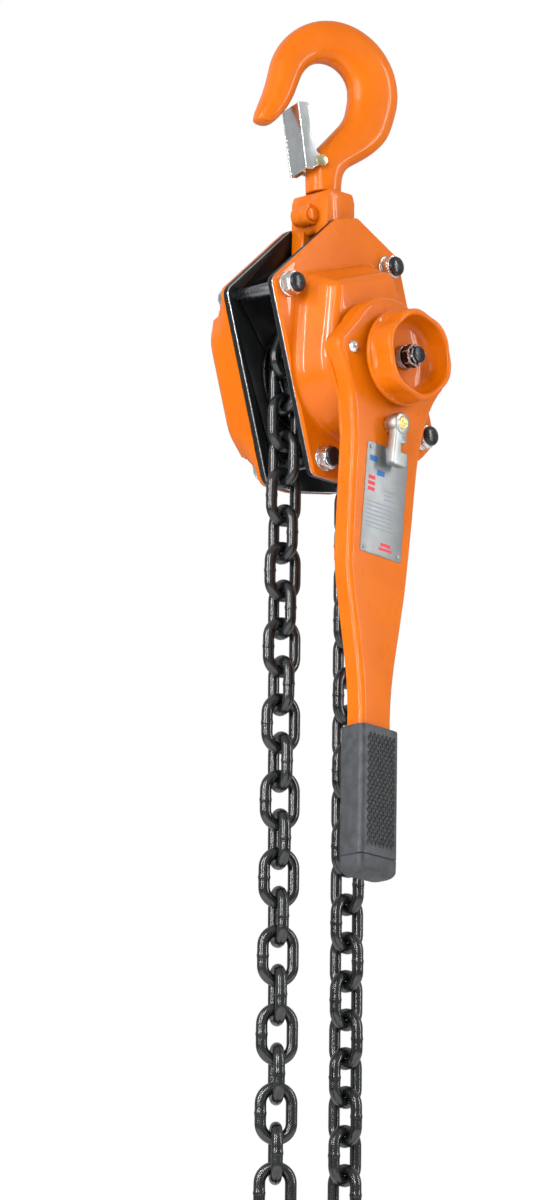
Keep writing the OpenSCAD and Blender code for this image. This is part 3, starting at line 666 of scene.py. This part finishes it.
def rating_plate():
    """Printed marks on the plate: red bars, two blue blocks and rows of fine grey lines."""
    top = -71.5
    face = LEVER_FRONT + 0.6

    def mark(x0, x1, z0, z1):
        pts = [(x0, z0), (x1, z0), (x1, z1), (x0, z1)]
        return rings_to_mesh([ring_at(pts, face - 0.02), ring_at(pts, face + 0.08)])

    blue = [mark(-19.5, -11, top - 15, top - 10.5), mark(-10.5, -2, top - 25, top - 20.5)]
    red = [mark(-19.5, -12, top - 29.5 - 4.6 * k, top - 26.6 - 4.6 * k) for k in range(3)]
    grey = [mark(-1, 12 - 3 * (k % 2), top - 36 - 3.4 * k, top - 35.1 - 3.4 * k) for k in range(3)]
    for k in range(7):
        grey.append(mark(-19.5, 17 - 7 * (k % 3 == 2), top - 47.5 - 3.3 * k, top - 46.7 - 3.3 * k))
    red += [mark(-3, 12, top - 83, top - 81), mark(-1, 10, top - 79.6, top - 77)]
    prints = (("blue_print", blue, BLUE_INK), ("red_print", red, RED_INK), ("grey_print", grey, GREY_INK))
    for name, parts, ink in prints:
        place(name, *merged(parts), LEVER, "lever", "label_aluminium", material=ink)


# ---- hand wheel and covers ----


def hand_wheel():
    """A deep cup with six finger flutes, a thin base flange and a rounded rim."""
    base, front, wall, rim, n = 88.0, 112.0, 36.4, 2.6, 144
    flutes, flute_depth, flute_turn = 6, 2.2, 0.6

    def fluted(r, depth_of_flute):
        pts = []
        for k in range(n):
            a = math.tau * k / n
            rr = r - depth_of_flute * (0.5 + 0.5 * math.cos(flutes * a + flute_turn)) ** 1.5
            pts.append((rr * math.cos(a), rr * math.sin(a)))
        return pts

    flange = [(37.2, base), (37.7, base + 0.6), (37.7, base + 2.8), (37.3, base + 3.4)]
    rings = [ring_at(circle(r, n), depth) for r, depth in flange]
    rings.append(ring_at(fluted(wall + 0.2, 1.2), base + 3.9))
    rings += [ring_at(fluted(wall - 0.2, flute_depth), depth) for depth in (94, 98, 102, 106)]
    rings.append(ring_at(fluted(wall - 0.3, flute_depth), front - 3.2))
    for k in range(1, 9):
        a = math.pi * k / 8
        r = wall - 0.3 - rim * (1 - math.cos(a))
        rings.append(ring_at(fluted(r, flute_depth * (1 - 0.08 * k)), front - rim + rim * math.sin(a) * 0.98))
    rings.append(ring_at(fluted(30.4, 0.6), 106))
    inside = [(29.4, 98), (27, 94), (24.5, 92.6), (14, 92.2), (8, 92.0), (7.6, base)]
    rings += [ring_at(circle(r, n), depth) for r, depth in inside]
    verts, faces = rings_to_mesh(rings, closed=True)
    place("hand_wheel_cup", verts, faces, BODY, "hand_wheel", "orange_paint", "hand_wheel", smooth=40)


def hull_ring(circles, extra, depth):
    """The outline round several circles, grown by extra, sampled by the direction of its normal."""
    pts = []
    for k in range(HULL_POINTS):
        a = math.tau * (k + 0.5) / HULL_POINTS
        nx, nz = math.cos(a), math.sin(a)
        x, z, r = max(circles, key=lambda c: c[0] * nx + c[1] * nz + c[2])
        pts.append((x + (r + extra) * nx, -depth, z + (r + extra) * nz))
    return pts


# The outline of the side plates and of the covers' flanges, as (right, up, fillet radius),
# and the places of the four stays
PLATE = [
    (-60, -75, 7), (-31, -86, 30), (24, -95.5, 30), (70, -80, 14), (88, -71, 8),
    (88, 82, 9), (50, 118.5, 6), (26, 120.5, 8), (-60, 82, 8),
]
STAYS = [(12.9 + su * 58.75, 5.2 + sw * 69.5) for su in (-1, 1) for sw in (-1, 1)]


def brake_flange():
    """The flat pressed flange of the cover over the brake."""
    slab = rounded_slab(dense(filleted(PLATE), 4), FLANGE_BACK, FLANGE_FRONT, 1.6)
    place("brake_cover_flange", *slab, BODY, "hoist_body", "orange_paint", "brake_cover", smooth=35)


def brake_dome():
    """The dome over the brake, with rounded steps and a raised collar round the hand wheel's hub."""
    low = [(0, 0, 57), (-20, 66, 14), (42, 66, 14)]
    high = [(0, 0, 49), (-17, 62, 9), (37, 62, 9)]
    foot, shoulder, wall_foot = 5.0, 7.0, 35.3

    def between(t):
        return [tuple(a + (b - a) * t for a, b in zip(p, q)) for p, q in zip(low, high)]

    rings = [hull_ring(low, foot * (1 - s), wall_foot - foot * c) for s, c in quarter_turn(5)]
    for t in (0.25, 0.5, 0.75, 1.0):
        rings.append(hull_ring(between(t), 0, wall_foot + (DOME_TOP - shoulder - wall_foot) * t))
    for s, c in quarter_turn(6, first=1):
        rings.append(hull_ring(high, -shoulder * (1 - c), DOME_TOP - shoulder * (1 - s)))
    collar = [(33, DOME_TOP + 0.1), (31, DOME_TOP + 0.7), (30, DOME_TOP + 2)]
    collar += [(30, 68.6), (29.2, 69.3), (24, 69.3), (24, 55)]
    rings += [hull_ring([(0, 0, r)], 0, depth) for r, depth in collar]
    dome = rings_to_mesh(rings, caps=(False, False))
    place("brake_cover_dome", *dome, BODY, "hoist_body", "orange_paint", smooth=50)


def stud_caps():
    """The black domed ends of the four studs, in front of their nuts."""
    profile = [(7.7, 40.0), (8.0, 40.4), (8.0, 41.6), (7.5, 42.6)]
    profile += [(6.4, 43.3), (4.6, 43.8), (2.4, 44.1), (0.05, 44.2)]
    parts = [lathe(profile, 40, p) for p in STAYS]
    place("stud_caps", *merged(parts), BODY, "hoist_body", "black_steel", smooth=50, material=CAP)


def reaches(pts, centre, angles):
    """How far an outline lies from centre in each direction, a little smoothed."""

    def reach(a):
        def off_line(p):
            turn = math.atan2(p[1] - centre[1], p[0] - centre[0]) - a
            return abs((turn + math.pi) % math.tau - math.pi)

        return math.dist(min(pts, key=off_line), centre)

    out = [reach(a) for a in angles]
    for _ in range(3):
        out = [(out[k - 1] + 2 * out[k] + out[(k + 1) % len(out)]) / 4 for k in range(len(out))]
    return out


def cover_profile():
    """Steps over the gear cover as (share of the way from flange to crown, depth, scale)."""
    shoulder, side_top, mean_reach = 13.0, 48.5, 60
    profile = [(0.0, FLANGE_BACK, 1.0), (0.0, FLANGE_FRONT, 1.0)]
    profile += [(k / 14, FLANGE_FRONT + (side_top - FLANGE_FRONT) * k / 14, 1.0) for k in range(1, 15)]
    for s, c in quarter_turn(10, first=1):
        profile.append((1.0, side_top + (CROWN_DEPTH - side_top) * s, 1 - shoulder * (1 - c) / mean_reach))
    profile += [(1.0, CROWN_DEPTH, 0.78 - 0.02 * k) for k in range(12)]
    profile += [(1.0, CROWN_DEPTH, scale) for scale in (0.45, 0.3, 0.15, 0.02)]
    return profile


def gear_cover():
    """The rounded pressed cover on the back, with a pocket round each stay's nut."""
    n, centre = 360, (10, 8)
    well_r, well_edge = 11.2, 13.4
    crown = filleted([
        (-58.6, -32, 32), (-41, -72, 22), (8, -82, 30), (52, -72, 20), (68, -38, 30),
        (70, 50, 25), (44, 82, 22), (-8, 98, 22), (-40, 81, 19), (-58.6, 46, 29),
    ])
    angles = [math.tau * k / n - math.pi for k in range(n)]
    outer = reaches(dense(filleted(PLATE), 1.0), centre, angles)
    inner = reaches(dense(crown, 1.0), centre, angles)
    rings = []
    for t, depth, scale in cover_profile():
        ring = []
        for a, ro, ri in zip(angles, outer, inner):
            r = (ro + (min(ri, ro) - ro) * t) * scale
            u, w = centre[0] + r * math.cos(a), centre[1] + r * math.sin(a)
            near = min(math.dist((u, w), p) for p in STAYS)
            raised = max(depth - FLANGE_FRONT, 0) * smoothstep(well_r, well_edge, near)
            ring.append((u, min(depth, FLANGE_FRONT) + raised, w))
        rings.append(ring)
    cover = rings_to_mesh(rings, caps=(False, True))
    place("gear_cover_pressing", *cover, BODY, "hoist_body", "orange_paint", "gear_cover", smooth=60)


# ---- hooks ----


def hook_stations():
    """Inner point, outer point and half thickness, from the tip round the bowl to the shank."""
    bowl_r, outer_r, outer_at, half = 22.0, 57.3, Vector((8, 1)), 13
    shank_r = 14.3
    tip = [
        ((-47, -36), (-61.6, -33), 9.5),
        ((-41.8, -31.2), (-61, -28.5), 10.6),
        ((-36.8, -25), (-58.8, -23), 11.6),
        ((-32.6, -18.5), (-55.8, -15.5), 12.4),
        ((-29, -11.5), (-53, -8), 12.8),
        ((-26.4, -4), (-50.6, 0.5), 13),
    ]
    neck = [
        ((19.6, -20), (57.8, -32), 13),
        ((15.5, -26.5), (52.5, -40), 13),
        ((8.5, -34.5), (44, -48.5), 13),
        ((1.5, -42.4), (34, -55.8), 13),
        ((-4.5, -49), (25.5, -60.8), 13),
        ((-9.5, -54.5), (19.5, -65), 13),
        ((-13, -61), (16, -70.5), 13.4),
        ((-shank_r, -69), (14.5, -76), 14),
        ((-shank_r, -78), (shank_r, -80), shank_r),
    ]
    shank = [((-shank_r, z), (shank_r, z), shank_r) for z in (-87, -88.5, -88.8)]
    bowl = []
    for deg in range(171, -22, -9):
        d = Vector((math.cos(math.radians(deg)), math.sin(math.radians(deg))))
        b = d.dot(outer_at)
        out = d * (b + math.sqrt(b * b + outer_r**2 - outer_at.length_squared))
        inner = bowl_r + 1.2 * smoothstep(0, 25, -deg) + 1.8 * smoothstep(140, 175, deg)
        bowl.append((d * inner, out, half))
    return [(Vector(a), Vector(b), thick) for a, b, thick in tip + bowl + neck + shank]


def hook_ring(mid, across, half, power):
    """A section of the hook: power 2 is an ellipse, and a higher power is squarer."""
    ring = []
    for c, s in circle(1.0, HOOK_POINTS):
        x = math.copysign(abs(c) ** (2 / power), c)
        y = math.copysign(abs(s) ** (2 / power), s)
        p = mid + across * x
        ring.append((p.x, y * half, p.y))
    return ring


def hook_body(name, where, body, node):
    """A forged hook: rounded sections swept from the tip to the shank."""
    stations = hook_stations()
    a, b, half = stations[0]
    tip_way = Vector((-0.62, -0.78))
    rings = []
    for shrink, push in ((0.25, 3.7), (0.62, 3.0), (0.88, 1.6)):
        rings.append(hook_ring((a + b) / 2 + tip_way * push, (b - a) / 2 * shrink, half * shrink, HOOK_POWER))
    for i, (a, b, half) in enumerate(stations):
        round_share = smoothstep(len(stations) - 6, len(stations) - 2, i)
        rings.append(hook_ring((a + b) / 2, (b - a) / 2, half, HOOK_POWER - (HOOK_POWER - 2) * round_share))
    obj = place(name, *rings_to_mesh(rings), where, body, "orange_paint", node, smooth=60)
    sub = obj.modifiers.new("smooth", "SUBSURF")
    sub.levels = sub.render_levels = 1


def latch(name, where, body, node):
    """The sprung latch: a flat web with a flange along each side, drawn in round the pin."""
    half, wall, soft, overlap = 13.4, 2.0, 0.7, 0.6
    flange = filleted([
        (-30.6, -19, 1.5), (-22.6, -73.5, 1), (-17, -73.5, 3), (-11, -69, 4), (-6, -69.6, 3),
        (-3.6, -66.5, 2.5), (-5, -62.2, 2.5), (-13, -59, 6), (-17.4, -47, 5), (-20.6, -18.2, 3),
    ])
    parts = []
    for side in (-1, 1):
        low, high = sorted((side * half, side * (half + wall)))
        parts.append(rounded_slab(flange, low, high, soft, soft, 3))
    web = filleted([(-30.4, -19.4, 0.5), (-22.4, -73.2, 0.5), (-20.6, -73.2, 0.5), (-28.6, -19.4, 0.5)])
    parts.append(rounded_slab(web, -half - overlap, half + overlap, 0.1, 0.1, 2))
    place(name, *merged(parts), where, body, "zinc", node, smooth=50)


def selector():
    """The cast arm with its boss, notch and paddle, and its brass-coloured shaft."""
    at = (0, -54)
    arm = filleted([
        (-6.5, 0, 2), (6, 0, 2), (6.5, -15, 1), (1.2, -16.5, 1), (1.2, -22.5, 1), (8.5, -23, 1.5),
        (9, -34, 2.5), (-7.5, -34, 2.5), (-6.5, -12, 4),
    ])
    arm = [(x, z + at[1]) for x, z in arm]
    boss = [(8.4, 86.2), (8.7, 86.8), (8.7, 96), (8.2, 96.8), (7.4, 97.2), (0.05, 97.2)]
    parts = [rounded_slab(arm, 88.5, 96.4, 1.2, 0.6), lathe(boss, 48, at)]
    casting = merged(parts)
    place("selector_casting", *casting, LEVER, "selector", "zinc", "selector_arm", smooth=45, material=CAST)
    collar = [(7.0, 82.8), (7.4, 83.2), (7.4, 85.6), (7.0, 86.2), (4.9, 86.2)]
    end = [(5.2, 97.1), (5.2, 97.6), (4.8, 98), (0.05, 98)]
    parts = [lathe(collar, 48, at), lathe(end, 48, at)]
    place("selector_collar", *merged(parts), LEVER, "selector", "yellow_brass", smooth=45)


# ---- scene ----


def pale_floor():
    """A pale floor under the hanging hoist, made paler by a glow that only the camera sees."""
    size, low, glow_strength = 12.0, cad_box[0].z - 0.35, 0.5
    mesh = bpy.data.meshes.new("floor")
    corners = [(-size, -size, low), (size, -size, low), (size, size, low), (-size, size, low)]
    mesh.from_pydata(corners, [], [(0, 1, 2, 3)])
    floor = bpy.data.objects.new("floor", mesh)
    bpy.context.scene.collection.objects.link(floor)
    mat = principled("floor_paint", (0.86, 0.86, 0.85), 0.0, 0.8, Emission_Color=(1, 1, 1, 1))
    set_input(mat, "Base Color", ramp(mat, noise(mat, 3), 0.84, 0.88))
    seen_by = mat.node_tree.nodes.new("ShaderNodeLightPath")
    glow = mat.node_tree.nodes.new("ShaderNodeMath")
    glow.operation = "MULTIPLY"
    glow.inputs[1].default_value = glow_strength
    mat.node_tree.links.new(seen_by.outputs["Is Camera Ray"], glow.inputs[0])
    set_input(mat, "Emission Strength", glow.outputs[0])
    mesh.materials.append(mat)


def chosen(nodes, links, choice, otherwise, then):
    """Light that is then for the rays of one choice, and otherwise for the rest."""
    mix = nodes.new("ShaderNodeMixShader")
    links.new(choice, mix.inputs[0])
    links.new(otherwise, mix.inputs[1])
    links.new(then, mix.inputs[2])
    return mix.outputs[0]


def surround():
    """A room that is darker below than above, brighter in reflections and white to the camera."""
    world = bpy.data.worlds.new("surround")
    bpy.context.scene.world = world
    world.use_nodes = True
    nodes, links = world.node_tree.nodes, world.node_tree.links
    coords = nodes.new("ShaderNodeTexCoord")
    split = nodes.new("ShaderNodeSeparateXYZ")
    height = nodes.new("ShaderNodeMapRange")
    height.inputs["From Min"].default_value = -0.7
    height.inputs["From Max"].default_value = 0.6
    shade = nodes.new("ShaderNodeValToRGB")
    shade.color_ramp.elements[0].color = (0.16, 0.17, 0.18, 1)
    shade.color_ramp.elements[1].color = (1.0, 1.0, 1.0, 1)
    links.new(coords.outputs["Generated"], split.inputs["Vector"])
    links.new(split.outputs["Z"], height.inputs["Value"])
    links.new(height.outputs["Result"], shade.inputs["Fac"])
    soft = nodes["Background"]
    mirrored = nodes.new("ShaderNodeBackground")
    seen = nodes.new("ShaderNodeBackground")
    for node, strength in ((soft, 0.34), (mirrored, 0.6), (seen, 1.0)):
        node.inputs["Strength"].default_value = strength
    seen.inputs["Color"].default_value = (1, 1, 1, 1)
    links.new(shade.outputs["Color"], soft.inputs["Color"])
    links.new(shade.outputs["Color"], mirrored.inputs["Color"])
    path = nodes.new("ShaderNodeLightPath")
    lit = chosen(nodes, links, path.outputs["Is Glossy Ray"], soft.outputs[0], mirrored.outputs[0])
    shown = chosen(nodes, links, path.outputs["Is Camera Ray"], lit, seen.outputs[0])
    links.new(shown, nodes["World Output"].inputs["Surface"])


def lights():
    """Soft panels all round, and narrow strips that alone show as streaks in the paint."""
    target = Vector((0, 0, -0.35))
    # name, place, width and height in metres, power in watts
    for name, at, wide, tall, power in (
        ("key", (-2.2, -1.2, 0.6), 1.0, 1.4, 19),
        ("front", (0.3, -2.8, 0.5), 1.2, 1.6, 20),
        ("right", (2.6, -0.8, 0.2), 1.0, 1.4, 24),
        ("back", (-0.6, 2.6, 0.8), 1.0, 1.5, 32),
        ("low", (-0.9, -1.5, -1.4), 0.6, 0.9, 9),
        ("strip_a", (-2.5, 0.2, 0.25), 0.06, 1.8, 22),
        ("strip_b", (-2.48, 0.58, 0.25), 0.06, 1.8, 22),
        ("strip_d", (-2.4, -0.95, 0.3), 0.06, 1.8, 18),
        ("strip_e", (-2.15, -1.35, 0.3), 0.06, 1.8, 18),
        ("strip_c", (1.3, -2.3, 0.3), 0.09, 2.0, 14),
        ("strip_f", (1.5, -2.2, 0.3), 0.09, 2.0, 14),
    ):
        light = bpy.data.lights.new(name, "AREA")
        light.shape = "RECTANGLE"
        light.size, light.size_y = wide, tall
        light.energy = power
        lamp = bpy.data.objects.new(name, light)
        lamp.location = at
        lamp.rotation_mode = "QUATERNION"
        lamp.rotation_quaternion = (target - Vector(at)).to_track_quat("-Z", "Y")
        lamp.visible_glossy = name.startswith("strip")
        bpy.context.scene.collection.objects.link(lamp)


def camera():
    """The view from the front left, a little below, looking up."""
    heading, pitch, roll = math.radians(44.81), math.radians(10.18), math.radians(0.73)
    from_sheave = Vector((-1.9948, -1.959, -0.6835))
    flat = math.cos(pitch)
    ahead = Vector((math.sin(heading) * flat, math.cos(heading) * flat, math.sin(pitch)))
    right0 = Vector((math.cos(heading), -math.sin(heading), 0))
    up0 = right0.cross(ahead)
    right = right0 * math.cos(roll) + up0 * math.sin(roll)
    up = up0 * math.cos(roll) - right0 * math.sin(roll)
    data = bpy.data.cameras.new("camera")
    data.sensor_width = 36
    data.lens = 107.96
    cam = bpy.data.objects.new("camera", data)
    bpy.context.scene.collection.objects.link(cam)
    turn = Matrix((right, up, -ahead)).transposed().to_4x4()
    cam.matrix_world = Matrix.Translation(SHEAVE + from_sheave) @ turn
    bpy.context.scene.camera = cam
    bpy.context.scene.view_settings.view_transform = "Standard"


camera()
pale_floor()
surround()
lights()
finish_cad_nodes()
chains()
lever_shell()
grip_sleeve()
grip_diamonds()
rating_plate()
hand_wheel()
brake_flange()
brake_dome()
gear_cover()
stud_caps()
selector()
latch("top_latch_pressing", TOP_HOOK, "top_latch", "top_latch")
latch("bottom_latch_pressing", BOTTOM_HOOK, "bottom_latch", "bottom_latch")
hook_body("top_hook_forging", TOP_HOOK, "top_hook", "top_hook")
hook_body("bottom_hook_forging", BOTTOM_HOOK, "bottom_hook", "bottom_hook")
